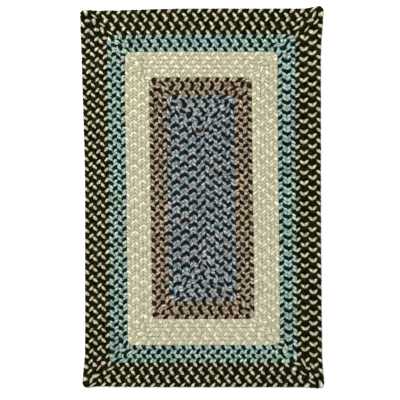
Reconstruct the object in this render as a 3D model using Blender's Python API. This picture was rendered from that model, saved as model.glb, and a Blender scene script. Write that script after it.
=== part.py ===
"""A rectangular braided rug, lying flat: five lengths of three-strand braid, sewn edge to edge in rounds.

Metres, +Z up. The origin is under the middle of the rug's bounding box, on the floor. +Y runs along the
rug. Each length of braid is one closed solid with a ridge for every row of braid, above and below. The
crossings of the plait itself are finer than these solids.
"""

from math import cos, pi, sin

import bmesh
import bpy

# Driving sizes
ROW_PITCH = 0.0334  # from one row of braid to the next
SPINE_LENGTH = 0.5316  # the first fold of braid, along the middle
THICKNESS = 0.012
CORNER_RADIUS = 0.020  # every round turns its corners this tightly
SEAM_GAP = 0.0003  # between one length of braid and the next

# The lengths of braid. Rows are counted from the spine: centre_braid fills rows 0 to 4 on every side.
BRAIDS = (
    # name, first row, last row, mean colour, roughness
    ("centre_braid", 0, 4, (0.115, 0.135, 0.145), 0.9),
    ("brown_braid", 4, 6, (0.150, 0.110, 0.075), 0.9),
    ("cream_braid", 6, 9, (0.550, 0.510, 0.360), 0.9),
    ("blue_braid", 9, 11, (0.130, 0.195, 0.170), 0.9),
    ("border_braid", 11, 14, (0.085, 0.080, 0.050), 0.9),
)
LAST_ROW = 14
HALF_WIDTH = LAST_ROW * ROW_PITCH
HALF_LENGTH = SPINE_LENGTH / 2 + HALF_WIDTH

# One row cut across: how far over the row, in rows, and how high, in thicknesses
ROW_TOP = ((0.0, 0.70), (0.18, 0.94), (0.50, 1.0), (0.82, 0.94))
ROW_UNDERSIDE = ((1.0, 0.22), (0.78, 0.0), (0.22, 0.0))
RUG_EDGE = ((0.96, 0.78), (1.0, 0.50), (0.96, 0.22))

# The rug isn't true. The rows left of the centre field were sewn closer together, and some others too.
# The field leans to the right on its way down, and the edges swing out, or in where the pull is negative,
# near the corners.
LEFT_TIGHTNESS = 0.934
TIGHT_FROM_ROW = 4
ROW_SHIFTS = (
    # edge, the row whose outer side is moved, how far outwards, the rows between which the others follow
    ("left", 4, -0.0036, 0, 6),
    ("right", 4, -0.0020, 0, 6),
    ("left", 11, 0.0035, 9, 14),
    ("right", 11, 0.0016, 9, 14),
    ("bottom", 11, 0.0062, 0, 14),
)
LEAN = 0.0112  # to the right, where it is full
LEAN_FROM = 0.42  # above the rug's middle
LEAN_LENGTH = 0.93
LEAN_FADE = 3  # the lean dies away from the spine to the outer edge as this power of the distance
EDGES = {"left": (-1, 0), "right": (1, 0), "top": (0, 1), "bottom": (0, -1)}
EDGE_PULLS = (
    # edge, near which corner of it, how far outwards, felt over
    ("left", "top", 0.0160, 0.75),
    ("left", "top", 0.0035, 0.20),
    ("left", "bottom", 0.0110, 0.16),
    ("right", "top", 0.0100, 0.20),
    ("right", "bottom", 0.0050, 0.75),
    ("right", "bottom", 0.0080, 0.14),
    ("top", "left", -0.0090, 0.45),
    ("top", "left", 0.0050, 0.09),
    ("top", "right", 0.0115, 0.08),
    ("bottom", "left", -0.0030, 0.30),
    ("bottom", "left", 0.0070, 0.07),
    ("bottom", "right", 0.0055, 0.10),
)
PULL_FADE = 3.5  # a pull dies away from the outer edge to the spine as this power of the distance

# Where sections stand: as shares of half a side, and how many steps turn a corner
LONG_SIDE = (-0.98, -0.93, -0.85, -0.65, -0.30, 0.30, 0.65, 0.85, 0.93, 0.98)
SHORT_SIDE = (-0.97, -0.90, -0.78, -0.45, 0.0, 0.45, 0.78, 0.90, 0.97)
CORNER_STEPS = 4


def untrue(x, y):
    """Where a point of a true rug lies on this one. A shift moves one row fully and those beside it less
    and less, the lean is a smooth step down the rug, and a pull is a smooth step of the distance to its
    corner."""
    from_spine = max(abs(x), abs(y) - SPINE_LENGTH / 2, 0.0) / HALF_WIDTH
    tight_x = min(x + TIGHT_FROM_ROW * ROW_PITCH, 0.0) * (LEFT_TIGHTNESS - 1)
    down = min(max((LEAN_FROM - y) / LEAN_LENGTH, 0.0), 1.0)
    lean = LEAN * down * down * (3 - 2 * down) * (1 - from_spine**LEAN_FADE)
    moved_x, moved_y = x + tight_x + lean, y
    for edge, moved_row, outwards, from_row, to_row in ROW_SHIFTS:
        out_x, out_y = EDGES[edge]
        row = (x * out_x + y * out_y - abs(out_y) * SPINE_LENGTH / 2) / ROW_PITCH
        rising = (row - from_row) / (moved_row - from_row)
        falling = (to_row - row) / (to_row - moved_row)
        shift = outwards * max(min(rising, falling), 0.0)
        moved_x += out_x * shift
        moved_y += out_y * shift
    for edge, corner, outwards, felt_over in EDGE_PULLS:
        out_x, out_y = EDGES[edge]
        along_x, along_y = EDGES[corner]
        to_corner = abs(along_x) * HALF_WIDTH + abs(along_y) * HALF_LENGTH - x * along_x - y * along_y
        near = min(max(1 - to_corner / felt_over, 0.0), 1.0)
        outer = max(x * out_x / HALF_WIDTH + y * out_y / HALF_LENGTH, 0.0)
        pull = outwards * near * near * (3 - 2 * near) * outer * from_spine**PULL_FADE
        moved_x += out_x * pull
        moved_y += out_y * pull
    return moved_x, moved_y


def lap(distance):
    """Points once round the rug, this far from the spine: right side, top, left side and bottom, each
    followed by the round corner at its end."""
    radius = min(CORNER_RADIUS, distance)
    half_x = distance - radius
    half_y = SPINE_LENGTH / 2 + distance - radius
    points = []
    for turn in range(4):
        facing = turn * pi / 2
        if turn % 2 == 0:
            side = round(cos(facing))
            points += [(side * distance, side * half_y * share) for share in LONG_SIDE]
        else:
            side = round(sin(facing))
            points += [(-side * half_x * share, side * (half_y + radius)) for share in SHORT_SIDE]
        centre_x = half_x if turn in (0, 3) else -half_x
        centre_y = half_y if turn in (0, 1) else -half_y
        for step in range(CORNER_STEPS + 1):
            angle = facing + step / CORNER_STEPS * pi / 2
            points.append((centre_x + radius * cos(angle), centre_y + radius * sin(angle)))
    return points


def section(first_row, last_row):
    """A length of braid cut across, as (distance from the spine, height): out over its rows, down its outer
    side, back underneath. A side that is sewn to the next length stands half the seam gap back."""
    rows = range(first_row, last_row)
    over = [(row + across, height) for row in rows for across, height in ROW_TOP]
    under = [(row + across, height) for row in reversed(rows) for across, height in ROW_UNDERSIDE]
    if last_row == LAST_ROW:
        side = [(last_row - 1 + across, height) for across, height in RUG_EDGE]
        under = under[1:]
        outer = last_row * ROW_PITCH
    else:
        side = [(last_row, ROW_TOP[0][1])]
        outer = last_row * ROW_PITCH - SEAM_GAP / 2
    inner = first_row * ROW_PITCH + SEAM_GAP / 2 if first_row else 0.0
    back = [(first_row, ROW_UNDERSIDE[0][1])]
    return [
        (min(max(across * ROW_PITCH, inner), outer), height * THICKNESS)
        for across, height in over + side + under + back
    ]


def yarn(name, colour, roughness):
    """A matt material in the mean colour of the braid's strands."""
    material = bpy.data.materials.new(name)
    material.use_nodes = True
    shader = material.node_tree.nodes["Principled BSDF"]
    shader.inputs["Base Color"].default_value = (*colour, 1.0)
    shader.inputs["Roughness"].default_value = roughness
    shader.inputs["Metallic"].default_value = 0.0
    material.diffuse_color = (*colour, 1.0)
    return material


def braid(name, first_row, last_row, colour, roughness):
    """One length of braid: a grid whose lines are laps of the rug, one at each point of the section, with
    the ends of the laps welded, and the first line to the last one. The centre's first and last lines
    close on the spine instead."""
    outline = section(first_row, last_row)
    if first_row:
        outline.append(outline[0])
    laps = [lap(distance) for distance, height in outline]
    stations = len(laps[0])
    sheet = bmesh.new()
    bmesh.ops.create_grid(sheet, x_segments=stations, y_segments=len(outline) - 1)
    sheet.verts.ensure_lookup_table()
    for index, vertex in enumerate(sheet.verts):
        line, station = divmod(index, stations + 1)
        vertex.co = (*untrue(*laps[line][station % stations]), outline[line][1])
    bmesh.ops.remove_doubles(sheet, verts=sheet.verts, dist=1e-6)
    bmesh.ops.recalc_face_normals(sheet, faces=sheet.faces)
    mesh = bpy.data.meshes.new(name)
    sheet.to_mesh(mesh)
    sheet.free()
    mesh.materials.append(yarn(name, colour, roughness))
    mesh.shade_smooth()
    mesh.set_sharp_from_angle(angle=pi / 4)
    return bpy.data.objects.new(name, mesh)


for leftover in list(bpy.data.objects):
    bpy.data.objects.remove(leftover, do_unlink=True)

rug = bpy.data.collections.new("braided_rug")
bpy.context.scene.collection.children.link(rug)
for braid_facts in BRAIDS:
    rug.objects.link(braid(*braid_facts))

# The origin goes under the middle of the whole rug, whose outer edge is the border's.
border = rug.objects["border_braid"].data.vertices
middle_x = (min(v.co.x for v in border) + max(v.co.x for v in border)) / 2
middle_y = (min(v.co.y for v in border) + max(v.co.y for v in border)) / 2
for length_of_braid in rug.objects:
    length_of_braid.location = (-middle_x, -middle_y, 0.0)
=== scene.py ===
"""A rectangular braided rug, dressed: each strand of its plaits, with its yarn and dyes, on a pale floor.

Metres, +Z up, +Y along the rug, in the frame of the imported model. The rug is five lengths of three-strand
braid, sewn edge to edge in rounds from the centre outwards. Each strand of each length is one piece here.
"""

import bpy
import numpy as np
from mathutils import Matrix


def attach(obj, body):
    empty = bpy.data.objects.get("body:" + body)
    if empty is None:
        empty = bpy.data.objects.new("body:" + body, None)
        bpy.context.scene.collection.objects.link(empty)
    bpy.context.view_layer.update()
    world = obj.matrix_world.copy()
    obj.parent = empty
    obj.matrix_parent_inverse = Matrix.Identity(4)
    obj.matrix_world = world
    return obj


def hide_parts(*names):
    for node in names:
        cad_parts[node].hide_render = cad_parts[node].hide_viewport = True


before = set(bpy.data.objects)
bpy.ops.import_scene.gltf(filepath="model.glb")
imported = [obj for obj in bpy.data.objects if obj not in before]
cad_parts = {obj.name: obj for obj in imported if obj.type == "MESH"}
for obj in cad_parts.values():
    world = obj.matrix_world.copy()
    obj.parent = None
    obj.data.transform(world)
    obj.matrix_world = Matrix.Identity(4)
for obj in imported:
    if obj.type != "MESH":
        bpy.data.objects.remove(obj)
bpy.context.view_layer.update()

# ----------------------------------------------------------------------------------------------------------
# Camera. The rug was photographed from straight above, from far off, with the rug slightly off the middle
# of a square picture.
# ----------------------------------------------------------------------------------------------------------
CAMERA_HEIGHT = 6.0
PICTURE_WIDTH = 1.552  # of the floor, from one side of the picture to the other
PICTURE_MIDDLE = (-0.0080, -0.0111)
SENSOR_WIDTH_MM = 36.0

camera = bpy.data.objects.new("camera", bpy.data.cameras.new("camera"))
camera.data.sensor_width = SENSOR_WIDTH_MM
camera.data.lens = SENSOR_WIDTH_MM * CAMERA_HEIGHT / PICTURE_WIDTH
camera.location = (*PICTURE_MIDDLE, CAMERA_HEIGHT)
bpy.context.scene.collection.objects.link(camera)
bpy.context.scene.camera = camera

# ----------------------------------------------------------------------------------------------------------
# Centre. The first length of braid, folded once along the spine, then laid round itself four times and sewn
# along its edges. One of its strands is navy yarn and two are grey-blue tweed. The other lengths of braid
# are plaited, laid and dyed in the same way.
# ----------------------------------------------------------------------------------------------------------
ROW_PITCH = 0.0334  # from one row of braid to the next
SPINE_LENGTH = 0.5316  # the first fold of braid, along the middle
THICKNESS = 0.012
CORNER_RADIUS = 0.020  # every round turns its corners this tightly
LEAST_RADIUS = 1e-5  # that a point on the spine turns with
CORNER_EASE = 0.036  # how far before and after a corner the plait is stretched or squeezed by it
LAST_ROW = 14
HALF_WIDTH = LAST_ROW * ROW_PITCH
HALF_LENGTH = SPINE_LENGTH / 2 + HALF_WIDTH

# The rug isn't true. The rows left of the centre field were sewn closer together, and some others too.
# The field leans to the right on its way down, and the edges swing out, or in where the pull is negative,
# near the corners.
LEFT_TIGHTNESS = 0.934
TIGHT_FROM_ROW = 4
ROW_SHIFTS = (
    # edge, the row whose outer side is moved, how far outwards, the rows between which the others follow
    ("left", 4, -0.0036, 0, 6),
    ("right", 4, -0.0020, 0, 6),
    ("left", 11, 0.0035, 9, 14),
    ("right", 11, 0.0016, 9, 14),
    ("bottom", 11, 0.0062, 0, 14),
)
LEAN = 0.0112  # to the right, where it is full
LEAN_FROM = 0.42  # above the rug's middle
LEAN_LENGTH = 0.93
LEAN_FADE = 3  # the lean dies away from the spine to the outer edge as this power of the distance
EDGES = {"left": (-1, 0), "right": (1, 0), "top": (0, 1), "bottom": (0, -1)}
EDGE_PULLS = (
    # edge, near which corner of it, how far outwards, felt over
    ("left", "top", 0.0160, 0.75),
    ("left", "top", 0.0035, 0.20),
    ("left", "bottom", 0.0110, 0.16),
    ("right", "top", 0.0100, 0.20),
    ("right", "bottom", 0.0050, 0.75),
    ("right", "bottom", 0.0080, 0.14),
    ("top", "left", -0.0090, 0.45),
    ("top", "left", 0.0050, 0.09),
    ("top", "right", 0.0115, 0.08),
    ("bottom", "left", -0.0030, 0.30),
    ("bottom", "left", 0.0070, 0.07),
    ("bottom", "right", 0.0055, 0.10),
)
PULL_FADE = 3.5  # a pull dies away from the outer edge to the spine as this power of the distance


def untrue(x, y):
    """Where points of a true rug lie on this one. Rows on the left are squeezed towards the centre field,
    and each shift moves one row fully and those beside it less and less. The lean is a smooth step down
    the rug, and each pull moves its edge outwards by a smooth step of the distance to its corner."""
    from_spine = np.maximum(np.abs(x), np.abs(y) - SPINE_LENGTH / 2).clip(0) / HALF_WIDTH
    moved_x = x + np.minimum(x + TIGHT_FROM_ROW * ROW_PITCH, 0) * (LEFT_TIGHTNESS - 1)
    moved_y = y.copy()
    down = ((LEAN_FROM - y) / LEAN_LENGTH).clip(0, 1)
    moved_x += LEAN * down * down * (3 - 2 * down) * (1 - from_spine**LEAN_FADE)
    for edge, moved_row, outwards, from_row, to_row in ROW_SHIFTS:
        out_x, out_y = EDGES[edge]
        row = (x * out_x + y * out_y - abs(out_y) * SPINE_LENGTH / 2) / ROW_PITCH
        rising = (row - from_row) / (moved_row - from_row)
        falling = (to_row - row) / (to_row - moved_row)
        shift = outwards * np.minimum(rising, falling).clip(0)
        moved_x += out_x * shift
        moved_y += out_y * shift
    for edge, corner, outwards, felt_over in EDGE_PULLS:
        out_x, out_y = EDGES[edge]
        along_x, along_y = EDGES[corner]
        to_corner = abs(along_x) * HALF_WIDTH + abs(along_y) * HALF_LENGTH - x * along_x - y * along_y
        near = (1 - to_corner / felt_over).clip(0, 1)
        outer = (x * out_x / HALF_WIDTH + y * out_y / HALF_LENGTH).clip(0)
        pull = outwards * near * near * (3 - 2 * near) * outer * from_spine**PULL_FADE
        moved_x += out_x * pull
        moved_y += out_y * pull
    return moved_x, moved_y


def quarter_length(distance):
    """Along the line this far from the spine, from the middle of a long side to that of a short one:
    half the long side, a quarter circle and half the short side."""
    radius = np.minimum(distance, CORNER_RADIUS)
    return SPINE_LENGTH / 2 + 2 * (distance - radius) + radius * np.pi / 2


def quarter_point(run, distance):
    """The point this far along that quarter, as (across, along) from the rug's middle."""
    radius = np.clip(distance, LEAST_RADIUS, CORNER_RADIUS)
    half_side = SPINE_LENGTH / 2 + distance - radius
    turned = ((run - half_side) / radius).clip(0, np.pi / 2)
    past_corner = (run - half_side - radius * np.pi / 2).clip(0)
    across = distance - radius + radius * np.cos(turned) - past_corner
    return across, np.minimum(run, half_side) + radius * np.sin(turned)


def laid(run, outwards, middle):
    """Where a point of a round's braid lies. `run` is how far it is along the round's middle line, which is
    `middle` from the spine, clockwise from halfway down the right side. `outwards` is how far it is to the
    outer side of that line. Round a corner a line further out is longer, and the plait is stretched evenly
    over it, from one corner ease before it to one after it."""
    quarter = quarter_length(middle)
    turn = np.floor(run / quarter)
    run = run - turn * quarter
    turn = turn % 4
    run = np.where(turn % 2 == 1, quarter - run, run)
    straight = middle - min(middle, CORNER_RADIUS)
    ease_from = SPINE_LENGTH / 2 + straight - CORNER_EASE
    left_over = straight - min(straight, CORNER_EASE)
    distance = (middle + outwards).clip(0)
    there = quarter_length(distance)
    stretch = (there - left_over - ease_from) / (quarter - left_over - ease_from)
    eased = ease_from + (run - ease_from) * stretch
    run = np.where(run < ease_from, run, np.where(run > quarter - left_over, there - quarter + run, eased))
    across, along = quarter_point(run, distance)
    across = np.where((turn == 0) | (turn == 3), across, -across)
    along = np.where(turn < 2, -along, along)
    return untrue(across, along)


# The frame's origin is under the middle of the rug's box, which its uneven edges move off the spine.
EDGE_POINTS = 4000
edge_run = np.linspace(0, 4 * quarter_length(HALF_WIDTH), EDGE_POINTS)
edge_x, edge_y = laid(edge_run, np.zeros_like(edge_run), HALF_WIDTH)
RUG_MIDDLE = ((edge_x.min() + edge_x.max()) / 2, (edge_y.min() + edge_y.max()) / 2)

# The plait
SHORT_SIDE_TENSION = 0.976  # pitch of the short sides as a share of that of the long ones
SWING = 0.0132  # of a strand's middle, to each side of the row's
SHARPNESS = 0.80  # of its turns: near 0 its course is a sine, at 1 a zigzag
LATENESS = 0.6  # radians: how much longer a strand takes outwards, over the others, than back under them
RISE = 0.0026  # of a strand's middle, above and below the row's
TOP_LAG = 1.0  # radians: how much later than its way outwards a strand is at its highest
HIDDEN_AT = 0.44  # pitches after it crosses the row's middle outwards: here a strand is deepest
STRAND_WIDTH = 0.0134
STRAND_THICKNESS = 0.0068
EDGE_WIDTH = 0.0146  # of the strand where it turns at the edge of the row
EDGE_THICKNESS = 0.0106
EDGE_FADE = 4  # power of the swing at which a strand takes its shape at the edge
TUCK = 0.42  # radians that a strand is tilted by, to tuck one side under its neighbour
BULGE = 2.3  # exponent of the strand's section: 2 is an ellipse, more is fuller at the sides
EDGE_BULGE = 2.8
PRESSED_FROM = 0.0140  # from the middle of the row: further out, the next row presses a strand back
PRESSED_TO = 0.0195  # and it never gets past this
RINGS_A_PITCH = 15  # rings of points along a strand
RING_POINTS = 10  # round a strand
TURN_CROWDING = 0.010  # a turn of one radian gets as many rings as this much straight strand
COURSE_POINTS = 721  # in a pitch, to measure along a strand with
UNEVEN_PHASE = 0.10  # radians, as a root mean square, which the next three are too
UNEVEN_SWING = 0.0005
UNEVEN_RISE = 0.00035
UNEVEN_WIDTH = 0.05  # as a share


def wander(rng, steps, waves):
    """A random curve that closes on itself: sine waves, up to so many to a lap, of random sizes and phases,
    scaled to a root mean square of 1."""
    spectrum = np.zeros(steps // 2 + 1, complex)
    spectrum[1 : waves + 1] = rng.normal(size=waves) + 1j * rng.normal(size=waves)
    curve = np.fft.irfft(spectrum, steps)
    return curve / curve.std()


def middle_line(round_number):
    """How far from the spine the middle of a round's braid is."""
    return (round_number - 0.5) * ROW_PITCH


def crossings(round_number, pitch, meets, starts):
    """How a round counts its crossings: places along it, the count at each, and the total of a lap. The
    count grows by 1 for every pitch. The places are both ends of the straight part of each side, from the
    right side clockwise, over a whole lap and on to the bottom again. Along a straight part the pitch is
    even. At its middle the count is the side's `starts`, plus half a pitch and the side's `meets` for every
    round out from the spine. The corners take up what is left over."""
    middle = middle_line(round_number)
    quarter = quarter_length(middle)
    straight = middle - min(middle, CORNER_RADIUS) - CORNER_EASE
    half_sides = (SPINE_LENGTH / 2 + straight, max(straight, 0.0))
    half_counts = (half_sides[0] / pitch, half_sides[1] / (pitch * SHORT_SIDE_TENSION))
    over_corner = (quarter - sum(half_sides)) / pitch
    places, counts = [], []
    for side in range(6):
        half_side, half_count = half_sides[side % 2], half_counts[side % 2]
        count = starts[side % 4] + round_number * (0.5 + meets[side % 4])
        if side > 0:
            count += round(counts[-1] + over_corner + half_count - count)
        places += [side * quarter - half_side, side * quarter + half_side]
        counts += [count - half_count, count + half_count]
    right_side_again = counts[2 * 4]
    return np.array(places), np.array(counts), round(right_side_again - counts[0])


def plaited(phase, pitch, swing, rise):
    """A strand's course over its row at this phase: how far sideways and how high it is, how fast both
    change along the row, and how near its turn it is, from 0 to 1. It swings across as a rounded zigzag,
    the arcsine of a sine, delayed where it turns, and rises and falls as a sine of twice its phase, which
    takes it over one strand and under the other."""
    late = phase - LATENESS * np.sin(phase) ** 2
    reach = swing / np.arcsin(SHARPNESS)
    turn_rate = 2 * np.pi / pitch
    sideways = reach * np.arcsin(SHARPNESS * np.sin(late))
    slope = reach * turn_rate * (1 - LATENESS * np.sin(2 * phase)) * SHARPNESS * np.cos(late)
    slope /= np.sqrt(1 - (SHARPNESS * np.sin(late)) ** 2)
    height = THICKNESS / 2 + rise * np.sin(2 * phase - TOP_LAG)
    climb = 2 * rise * turn_rate * np.cos(2 * phase - TOP_LAG)
    return sideways, height, slope, climb, np.abs(np.sin(late))


def ring_places(pitch):
    """Where the rings of a strand stand in a pitch, as shares of it from where the strand is hidden: evenly
    along its course, and closer together where it turns."""
    share = np.linspace(0, 1, COURSE_POINTS)
    sideways, _, slope, _, _ = plaited(2 * np.pi * (HIDDEN_AT + share), pitch, SWING, RISE)
    way = np.hypot(np.diff(share) * pitch, np.diff(sideways))
    way += TURN_CROWDING * np.abs(np.diff(np.arctan(slope)))
    way = np.concatenate([[0], np.cumsum(way)])
    return np.interp(np.arange(RINGS_A_PITCH) * way[-1] / RINGS_A_PITCH, way, share)


def strand_grid(round_number, strand, pitch, meets, starts, fullness, rng):
    """One strand, once round the rug from a place where it is hidden, as points (lengthwise, round the
    strand, xyz), and how far along the strand each ring of them is. The three strands are a third of a
    phase apart. A strand's section is a superellipse, square to its course on the plan, and tilted about
    the course by the mean of the cosines of the phase and of three times the phase. Points that are far
    from the row's middle are pressed back, ever more strongly, as an exponential curve."""
    middle = middle_line(round_number)
    places, counts, total = crossings(round_number, pitch, meets, starts)
    steps = total * RINGS_A_PITCH
    first = counts[0] + (HIDDEN_AT - strand / 3 - counts[0]) % 1
    count = (first + np.arange(total)[:, None] + ring_places(pitch)).ravel()
    run = np.interp(count, counts, places)
    phase = 2 * np.pi * (count + strand / 3) + UNEVEN_PHASE * wander(rng, steps, total // 2)
    swing = SWING + UNEVEN_SWING * wander(rng, steps, total)
    rise = RISE + UNEVEN_RISE * wander(rng, steps, total)
    girth = fullness * (1 + UNEVEN_WIDTH * wander(rng, steps, total))
    sideways, height, slope, climb, turning = plaited(phase, pitch, swing, rise)

    course = np.stack([np.ones(steps), slope, climb], 1)
    course /= np.linalg.norm(course, axis=1, keepdims=True)
    flat_side = np.stack([-slope, np.ones(steps), np.zeros(steps)], 1)
    flat_side /= np.linalg.norm(flat_side, axis=1, keepdims=True)
    upwards = np.cross(course, flat_side)
    tilt = (-TUCK * (np.cos(phase) + np.cos(3 * phase)) / 2)[:, None]
    wide = np.cos(tilt) * flat_side + np.sin(tilt) * upwards
    thick = np.cos(tilt) * upwards - np.sin(tilt) * flat_side

    angle = 2 * np.pi * np.arange(RING_POINTS) / RING_POINTS - np.pi / 2
    at_edge = turning**EDGE_FADE
    width = (STRAND_WIDTH + (EDGE_WIDTH - STRAND_WIDTH) * at_edge) * girth
    thickness = (STRAND_THICKNESS + (EDGE_THICKNESS - STRAND_THICKNESS) * at_edge) * girth
    power = 2 / (BULGE + (EDGE_BULGE - BULGE) * at_edge)[:, None]
    across = width[:, None] / 2 * np.sign(np.cos(angle)) * np.abs(np.cos(angle)) ** power
    above = thickness[:, None] / 2 * np.sign(np.sin(angle)) * np.abs(np.sin(angle)) ** power
    centre = np.stack([run, sideways, height], 1)
    points = centre[:, None] + across[:, :, None] * wide[:, None] + above[:, :, None] * thick[:, None]
    beyond = (np.abs(points[..., 1]) - PRESSED_FROM).clip(0)
    room = PRESSED_TO - PRESSED_FROM
    pressed = np.sign(points[..., 1]) * (beyond - room * (1 - np.exp(-beyond / room)))
    x, y = laid(points[..., 0], points[..., 1] - pressed, middle)
    z = points[..., 2].clip(0, THICKNESS)
    gap = np.diff(centre, axis=0, append=centre[:1] + [4 * quarter_length(middle), 0, 0])
    return np.stack([x - RUG_MIDDLE[0], y - RUG_MIDDLE[1], z], 2), np.cumsum(np.linalg.norm(gap, axis=1))


def strand_mesh(name, rounds, strand, pitch, meets, starts, fullness):
    """The mesh of one strand of a length of braid: a closed tube for each round. Its map `yarn` has metres
    along the strand and turns round it. Its map `OFBake` cuts the tubes into strips of equal length and
    stacks them, so that the strand fills a square."""
    first_round, last_round = rounds
    rng = np.random.default_rng([first_round, strand])
    grids, faces, maps = [], [], []
    points_so_far, length_so_far = 0, 0.0
    for round_number in range(first_round, last_round + 1):
        grid, length = strand_grid(round_number, strand, pitch, meets, starts, fullness, rng)
        steps = len(grid)
        ring, place = np.meshgrid(np.arange(steps), np.arange(RING_POINTS), indexing="ij")
        corner_rings = np.stack([ring, ring, ring + 1, ring + 1], 2).reshape(-1, 4)
        corner_places = np.stack([place, place + 1, place + 1, place], 2).reshape(-1, 4)
        faces.append(points_so_far + corner_rings % steps * RING_POINTS + corner_places % RING_POINTS)
        ring_starts = length_so_far + np.concatenate([[0], length])
        maps.append(np.stack([ring_starts[corner_rings], corner_places / RING_POINTS], 2))
        grids.append(grid.reshape(-1, 3))
        points_so_far += steps * RING_POINTS
        length_so_far = ring_starts[-1]
    points, faces, yarn_map = np.concatenate(grids), np.concatenate(faces), np.concatenate(maps)

    rings = len(points) // RING_POINTS
    strips = int(np.ceil(np.sqrt(length_so_far / (np.pi * (STRAND_WIDTH + STRAND_THICKNESS) / 2))))
    rings_a_strip = int(np.ceil(rings / strips))
    strip, ring = np.divmod(np.arange(len(faces)) // RING_POINTS, rings_a_strip)
    bake_u = (ring[:, None] + np.array([0, 0, 1, 1])) / rings_a_strip
    place = np.arange(len(faces))[:, None] % RING_POINTS + np.array([0, 1, 1, 0])
    bake_v = (strip[:, None] + place / RING_POINTS) / strips

    mesh = bpy.data.meshes.new(name)
    mesh.vertices.add(len(points))
    mesh.vertices.foreach_set("co", points.astype(np.float32).ravel())
    mesh.loops.add(faces.size)
    mesh.loops.foreach_set("vertex_index", faces.astype(np.int32).ravel())
    mesh.polygons.add(len(faces))
    mesh.polygons.foreach_set("loop_start", np.arange(0, faces.size, 4, dtype=np.int32))
    mesh.update(calc_edges=True)
    for map_name, spots in (("yarn", yarn_map), ("OFBake", np.stack([bake_u, bake_v], 2))):
        layer = mesh.uv_layers.new(name=map_name, do_init=False)
        layer.uv.foreach_set("vector", spots.astype(np.float32).ravel())
    mesh.shade_smooth()
    return mesh


class Field:
    """A value that changes over a surface: one output socket of a material's nodes. Arithmetic on it adds
    Math nodes, and `node` adds any other kind."""

    def __init__(self, tree, socket=None):
        self.tree = tree
        self.socket = socket

    def node(self, kind, settings=None, inputs=None, output=0):
        """A new node of this kind. Its settings are set first, then its inputs, by name or number, each
        to a value or a link. Returns the output asked for."""
        made = self.tree.nodes.new("ShaderNode" + kind)
        for name, value in (settings or {}).items():
            if name == "stops":
                ramp = made.color_ramp.elements
                while len(ramp) < len(value):
                    ramp.new(1.0)
                for stop, (place, colour) in zip(ramp, value):
                    stop.position, stop.color = place, colour
            else:
                setattr(made, name, value)
        for name, value in (inputs or {}).items():
            if isinstance(value, Field):
                self.tree.links.new(value.socket, made.inputs[name])
            else:
                made.inputs[name].default_value = value
        return Field(self.tree, made.outputs[output])

    def math(self, operation, *values):
        """A Math node of this operation, on this field and the values after it."""
        return self.node("Math", {"operation": operation}, dict(enumerate((self, *values))))

    def __add__(self, other):
        return self.math("ADD", other)

    def __mul__(self, other):
        return self.math("MULTIPLY", other)

    def __truediv__(self, other):
        return self.math("DIVIDE", other)

    def __sub__(self, other):
        return self.math("SUBTRACT", other)

    def __rsub__(self, other):
        return self.node("Math", {"operation": "SUBTRACT"}, {0: other, 1: self})

    __radd__ = __add__
    __rmul__ = __mul__


def palette(*stops):
    """A palette of dyes. Each stop is its place from 0 to 1, and its red, green and blue as they look on
    screen, from 0 to 255, which are made linear, as a shader takes them."""
    shown = np.array([stop[1:] for stop in stops]) / 255
    linear = np.where(shown <= 0.04045, shown / 12.92, ((shown + 0.055) / 1.055) ** 2.4)
    return [(stop[0], (*colour, 1.0)) for stop, colour in zip(stops, linear.tolist())]


# A strand is a flat bundle of fine cords. Its colour changes in four sizes: runs of dye, streaks, flecks,
# which are lighter and darker tufts spun into the yarn, and loose fibres. Painted light and shade are added
# on its cords, at its sides and deep between its neighbours.
CORDS = 12  # round a strand
CORD_TWIST = 0.0026  # along the strand, from one ply of a cord to the next
CORD_HEIGHT = 0.0009
CORD_RELIEF = 0.75  # share of that height, as the next two are
PLY_RELIEF = 0.12
FIBRE_RELIEF = 0.5
RUN_WIDTH = STRAND_WIDTH * 1.2
STREAK_LENGTH = 0.030
STREAK_WIDTH = STRAND_WIDTH / 6
FLECK_LENGTH = 0.0070
FLECK_WIDTH = 0.0024
FIBRE_LENGTH = 0.0032
FIBRE_WIDTH = 0.0008
RUN_RANGE = (0.30, 0.70)  # noise at which a run is at the first and the last dye of its palette
FLECK_RANGE = (0.32, 0.68)  # and at which a fleck is darkest and lightest
# Painted light and shade: a cord's ridge is painted lighter, and the groove beside it darker.
CORD_PAINTED_LIGHT = 0.45  # how much lighter a cord is on its ridge than beside it
MEAN_RIDGE = 0.6  # about the mean of |sin|
STREAK_LIGHT = 0.25  # how much lighter, at the most, the lightest streak is than the darkest
FIBRE_LIGHT = 0.5  # and the lightest fibre
# Painted shade, where little light gets in: deep between a strand's neighbours, and at its sides.
PAINTED_CREVICE_SHADE = 0.95  # how much darker, at the most, a strand is deep between its neighbours
CREVICE_ENDS = 0.75  # from the middle of the rug's thickness to its face, as a share
PAINTED_FLANK_SHADE = 0.80  # how much darker, at the most, a strand is at its two sides
FLANK_FROM = 0.25  # from the middle of the strand to its side, as a share
ROUGHNESS = 0.9
ROUGHNESS_RANGE = 0.2
SHEEN_ROUGHNESS = 0.5
GLOSS_TO_SHEEN = 3  # how many times more gloss than sheen a yarn has


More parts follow.
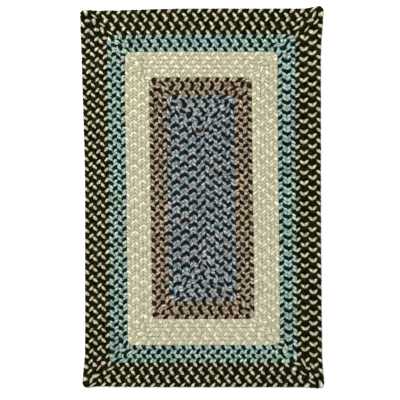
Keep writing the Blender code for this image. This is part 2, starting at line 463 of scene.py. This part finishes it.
def yarn(name, dyes, seed, lustre, shading, flecks, run_length):
    """The material of a strand. Its colour goes through the palette `dyes` by smooth noise in patches about
    `run_length` long, and is lighter and darker by up to the share `flecks` from tuft to tuft. The cords
    are ridges along the strand, |sin| of the turn round it, times their number, with painted light on the
    ridges and painted shade between them. The plies are slanting waves on them, and the fibres fine noise.
    Painted shade darkens a strand towards its sides and halfway through the rug's thickness, where little
    light gets in. `shading` is the share of that painted shade which it shows, less beside pale strands,
    which light one another. `lustre` is its gloss, and `seed` sets its noises apart from those of the other
    strands."""
    material = bpy.data.materials.new(name)
    material.use_nodes = True
    tree = material.node_tree
    shader = tree.nodes["Principled BSDF"]
    at = Field(tree)
    place = at.node("UVMap", {"uv_map": "yarn"})
    along = at.node("SeparateXYZ", None, {"Vector": place}, "X")
    around = at.node("SeparateXYZ", None, {"Vector": place}, "Y")
    turned = around * (2 * np.pi)
    ring_x, ring_y = turned.math("COSINE"), turned.math("SINE")

    def noise(length, width, detail, shift):
        """Noise that closes round the strand, with patches this long and this wide: it is read along a
        tube through space."""
        radius = STRAND_WIDTH / 2 / width
        spot = {"X": along / length + shift, "Y": ring_x * radius, "Z": ring_y * radius}
        vector = at.node("CombineXYZ", None, spot)
        return at.node("TexNoise", None, {"Vector": vector, "Scale": 1.0, "Detail": detail})

    def spread(value, low, high):
        """A smooth step from 0 at `low` to 1 at `high`."""
        ends = {"Value": value, "From Min": low, "From Max": high}
        return at.node("MapRange", {"interpolation_type": "SMOOTHSTEP"}, ends)

    run = spread(noise(run_length, RUN_WIDTH, detail=2.0, shift=17.3 * seed), *RUN_RANGE)
    streak = noise(STREAK_LENGTH, STREAK_WIDTH, detail=1.0, shift=5.1 * seed)
    fleck = spread(noise(FLECK_LENGTH, FLECK_WIDTH, detail=1.0, shift=9.7 * seed), *FLECK_RANGE)
    fibre = noise(FIBRE_LENGTH, FIBRE_WIDTH, detail=3.0, shift=2.7 * seed)
    ridge = (around * (np.pi * CORDS)).math("SINE").math("ABSOLUTE")
    ply = (along * (2 * np.pi / CORD_TWIST) + around * (2 * np.pi * CORDS)).math("SINE")

    coordinates = at.node("TexCoord", output="Object")
    height = at.node("SeparateXYZ", None, {"Vector": coordinates}, "Z")
    # Painted shade: the yarn is darker halfway through the rug's thickness and towards the strand's sides.
    off_middle = (height / (THICKNESS / 2) - 1).math("ABSOLUTE")
    painted_crevice_shade = (1 - spread(off_middle, 0.0, CREVICE_ENDS)) * (PAINTED_CREVICE_SHADE * shading)
    painted_flank_shade = spread(ring_y.math("ABSOLUTE"), FLANK_FROM, 1.0) * (PAINTED_FLANK_SHADE * shading)
    shade = (1 - painted_crevice_shade) * (1 - painted_flank_shade)

    light = 1 + (fleck - 0.5) * (2 * flecks)
    light = light + (streak - 0.5) * STREAK_LIGHT
    light = light + (fibre - 0.5) * FIBRE_LIGHT
    # Painted light on the cords' ridges and painted shade in the grooves between them.
    light = light + (ridge - MEAN_RIDGE) * CORD_PAINTED_LIGHT
    dyed = at.node("ValToRGB", {"stops": dyes}, {"Fac": run})
    colour = at.node("VectorMath", {"operation": "SCALE"}, {"Vector": dyed, "Scale": light * shade})
    tree.links.new(colour.socket, shader.inputs["Base Color"])

    relief = ridge * CORD_RELIEF + ridge * ply * PLY_RELIEF + fibre * FIBRE_RELIEF
    bump = at.node("Bump", None, {"Height": relief, "Distance": CORD_HEIGHT, "Strength": 1.0})
    tree.links.new(bump.socket, shader.inputs["Normal"])
    roughness = ROUGHNESS + (fibre - 0.5) * ROUGHNESS_RANGE
    tree.links.new(roughness.socket, shader.inputs["Roughness"])
    shader.inputs["Sheen Weight"].default_value = lustre / GLOSS_TO_SHEEN
    shader.inputs["Sheen Roughness"].default_value = SHEEN_ROUGHNESS
    shader.inputs["Specular IOR Level"].default_value = lustre
    return material


def braid(node, rounds, pitch, meets, starts, strands):
    """Plaits a length of braid, which takes the place of the frame's plain solid. `rounds` is its first and
    its last round, and `pitch` is along the braid, for a strand to come back to the same side. `meets` and
    `starts` are for halfway along the right side, the bottom, the left side and the top, in pitches. The
    first is how much further on, clockwise, a strand's picks lie than the same strand's beside them in the
    next round outwards: at 0 the two form hearts. The second is how far all the rounds are moved back
    together. Each of `strands` is its name, slot, girth as a share of the usual one, and material. The
    slot is not used."""
    for strand, (name, slot, fullness, material) in enumerate(strands):
        mesh = strand_mesh(name, rounds, strand, pitch, meets, starts, fullness)
        mesh.materials.append(material)
        piece = bpy.data.objects.new(name, mesh)
        bpy.context.scene.collection.objects.link(piece)
        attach(piece, "root")
        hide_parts(node)


FULL = 1.14  # girth of a dark strand, which is spun fuller
SLIM = 0.94  # of a light one beside it
EVEN = 1.0  # and of every strand where all are spun alike
# A yarn's shading is the share of the painted shade that it shows.
DARK_YARN = {"lustre": 0.02, "shading": 1.0, "flecks": 0.90, "run_length": 0.05}
TWEED_YARN = {"lustre": 0.10, "shading": 0.75, "flecks": 0.85, "run_length": 0.04}
NAVY = palette((0.0, 13, 19, 32), (0.35, 13, 25, 29), (0.7, 13, 31, 26), (1.0, 32, 21, 20))
GREY_BLUE = palette(
    (0.0, 134, 132, 140),
    (0.2, 120, 133, 139),
    (0.4, 126, 138, 131),
    (0.6, 140, 133, 135),
    (0.8, 119, 137, 133),
    (1.0, 144, 146, 134),
)
GREY_TWEED = palette(
    (0.0, 145, 129, 131),
    (0.25, 126, 134, 136),
    (0.5, 135, 139, 137),
    (0.75, 119, 132, 140),
    (1.0, 115, 139, 134),
)
braid(
    node="centre_braid",
    rounds=(1, 4),
    pitch=0.0437,
    meets=(-0.22, 0.2, 0.10, 0.2),
    starts=(-0.02, -0.47, 0.0, 0.5),
    strands=(
        ("centre_navy_strand", "centre_navy", FULL, yarn("navy_yarn", NAVY, 1, **DARK_YARN)),
        ("centre_grey_strand", "centre_grey", SLIM, yarn("grey_blue_yarn", GREY_BLUE, 2, **TWEED_YARN)),
        ("centre_tweed_strand", "centre_grey", SLIM, yarn("grey_tweed_yarn", GREY_TWEED, 3, **TWEED_YARN)),
    ),
)

# ----------------------------------------------------------------------------------------------------------
# Brown. The second length of braid, laid round the centre twice and sewn to it. One strand is dark brown
# yarn and two are heathered taupe, one of them rosier.
# ----------------------------------------------------------------------------------------------------------
TAUPE_YARN = {"lustre": 0.10, "shading": 0.75, "flecks": 0.85, "run_length": 0.05}
DARK_BROWN = palette((0.0, 24, 16, 2), (0.6, 32, 20, 2), (1.0, 46, 21, 6))
TAUPE = palette((0.0, 131, 122, 104), (0.4, 146, 128, 108), (0.7, 140, 131, 112), (1.0, 154, 140, 108))
ROSY_TAUPE = palette((0.0, 148, 128, 111), (0.5, 143, 130, 113), (1.0, 127, 122, 106))
braid(
    node="brown_braid",
    rounds=(5, 6),
    pitch=0.0402,
    meets=(-0.47, 0.16, -0.43, -0.07),
    starts=(-0.42, -0.37, -0.13, -0.08),
    strands=(
        ("brown_dark_strand", "brown_dark", FULL, yarn("dark_brown_yarn", DARK_BROWN, 4, **DARK_YARN)),
        ("brown_taupe_strand", "brown_taupe", SLIM, yarn("taupe_yarn", TAUPE, 5, **TAUPE_YARN)),
        ("brown_rosy_strand", "brown_taupe", SLIM, yarn("rosy_taupe_yarn", ROSY_TAUPE, 6, **TAUPE_YARN)),
    ),
)

# ----------------------------------------------------------------------------------------------------------
# Cream. The third length of braid, laid round the brown one three times and sewn to it. All its strands are
# soft cream yarns, and two of them lean to green and to tan.
# ----------------------------------------------------------------------------------------------------------
SOFT_YARN = {"lustre": 0.10, "shading": 0.24, "flecks": 0.32, "run_length": 0.06}
CREAM = palette((0.0, 187, 184, 158), (0.5, 195, 189, 167), (1.0, 190, 183, 162))
CREAM_GREEN = palette((0.0, 157, 160, 130), (0.5, 166, 162, 133), (1.0, 169, 164, 142))
CREAM_TAN = palette((0.0, 161, 153, 126), (0.5, 159, 157, 129), (1.0, 164, 164, 137))
braid(
    node="cream_braid",
    rounds=(7, 9),
    pitch=0.0428,
    meets=(-0.22, 0.2, 0.09, -0.4),
    starts=(0.2, -0.22, -0.35, 0.1),
    strands=(
        ("cream_strand", "cream", EVEN, yarn("cream_yarn", CREAM, 7, **SOFT_YARN)),
        ("cream_green_strand", "cream", EVEN, yarn("cream_green_yarn", CREAM_GREEN, 8, **SOFT_YARN)),
        ("cream_tan_strand", "cream", EVEN, yarn("cream_tan_yarn", CREAM_TAN, 9, **SOFT_YARN)),
    ),
)

# ----------------------------------------------------------------------------------------------------------
# Blue. The fourth length of braid, laid round the cream one twice and sewn to it. One strand is dark teal
# yarn, one is mint and one pale blue, both dyed in long runs.
# ----------------------------------------------------------------------------------------------------------
LONG_DYED_YARN = {"lustre": 0.10, "shading": 0.75, "flecks": 0.60, "run_length": 0.30}
TEAL = palette((0.0, 3, 17, 25), (0.45, 3, 25, 19), (1.0, 7, 28, 10))
MINT = palette(
    (0.0, 149, 166, 139),
    (0.35, 144, 166, 142),
    (0.65, 135, 162, 148),
    (1.0, 133, 160, 150),
)
PALE_BLUE = palette(
    (0.0, 140, 153, 159),
    (0.35, 135, 155, 157),
    (0.65, 132, 159, 152),
    (1.0, 137, 161, 149),
)
braid(
    node="blue_braid",
    rounds=(10, 11),
    pitch=0.0402,
    meets=(-0.06, -0.48, -0.38, 0.18),
    starts=(0.06, -0.37, -0.49, 0.41),
    strands=(
        ("blue_teal_strand", "blue_teal", FULL, yarn("teal_yarn", TEAL, 10, **DARK_YARN)),
        ("blue_mint_strand", "blue_light", SLIM, yarn("mint_yarn", MINT, 11, **LONG_DYED_YARN)),
        ("blue_pale_strand", "blue_light", SLIM, yarn("pale_blue_yarn", PALE_BLUE, 12, **LONG_DYED_YARN)),
    ),
)

# ----------------------------------------------------------------------------------------------------------
# Border. The last length of braid, laid round the blue one three times and sewn to it. One strand is cream
# yarn, which flecks the border evenly, and two are black-brown, one of them olive.
# ----------------------------------------------------------------------------------------------------------
FLECK_YARN = {"lustre": 0.10, "shading": 0.85, "flecks": 0.55, "run_length": 0.06}
IVORY = palette((0.0, 168, 164, 134), (0.5, 169, 165, 140), (1.0, 165, 163, 129))
NEAR_BLACK = palette((0.0, 9, 9, 1), (0.6, 19, 16, 2), (1.0, 33, 23, 5))
OLIVE = palette((0.0, 11, 14, 1), (0.6, 22, 25, 4), (1.0, 29, 30, 5))
braid(
    node="border_braid",
    rounds=(12, 14),
    pitch=0.0399,
    meets=(0.02, 0.19, -0.28, 0.17),
    starts=(0.42, -0.16, 0.35, -0.09),
    strands=(
        ("border_cream_strand", "border_cream", EVEN, yarn("border_cream_yarn", IVORY, 13, **FLECK_YARN)),
        ("border_black_strand", "border_dark", EVEN, yarn("black_brown_yarn", NEAR_BLACK, 14, **DARK_YARN)),
        ("border_olive_strand", "border_dark", EVEN, yarn("olive_yarn", OLIVE, 15, **DARK_YARN)),
    ),
)

# ----------------------------------------------------------------------------------------------------------
# Floor and light. The rug lies on a plain near-white floor, wider than the picture. The light is even and
# soft, with a little more from the top left.
# ----------------------------------------------------------------------------------------------------------
FLOOR_SIZE = 60.0
FLOOR_COLOUR = (0.86, 0.86, 0.86, 1.0)
FLOOR_ROUGHNESS = 0.9
SKY_COLOUR = (1.0, 1.0, 1.0, 1.0)
SKY_STRENGTH = 1.1
KEY_SIZE = 3.0
KEY_PLACE = (-1.6, 1.8, 4.2)
KEY_POWER = 210.0

floor_mesh = bpy.data.meshes.new("floor")
half = FLOOR_SIZE / 2
floor_corners = [(-half, -half, 0), (half, -half, 0), (half, half, 0), (-half, half, 0)]
floor_mesh.from_pydata(floor_corners, [], [(0, 1, 2, 3)])
floor_paint = bpy.data.materials.new("floor_paint")
floor_paint.use_nodes = True
floor_shader = floor_paint.node_tree.nodes["Principled BSDF"]
floor_shader.inputs["Base Color"].default_value = FLOOR_COLOUR
floor_shader.inputs["Roughness"].default_value = FLOOR_ROUGHNESS
floor_mesh.materials.append(floor_paint)
floor = bpy.data.objects.new("floor", floor_mesh)
bpy.context.scene.collection.objects.link(floor)

sky = bpy.data.worlds.new("soft_light")
sky.use_nodes = True
sky.node_tree.nodes["Background"].inputs["Color"].default_value = SKY_COLOUR
sky.node_tree.nodes["Background"].inputs["Strength"].default_value = SKY_STRENGTH
bpy.context.scene.world = sky
bpy.context.scene.view_settings.view_transform = "Standard"

key = bpy.data.objects.new("key", bpy.data.lights.new("key", "AREA"))
key.data.size = KEY_SIZE
key.data.energy = KEY_POWER
key.location = KEY_PLACE
key.rotation_mode = "QUATERNION"
key.rotation_quaternion = key.location.to_track_quat("Z", "Y")
bpy.context.scene.collection.objects.link(key)
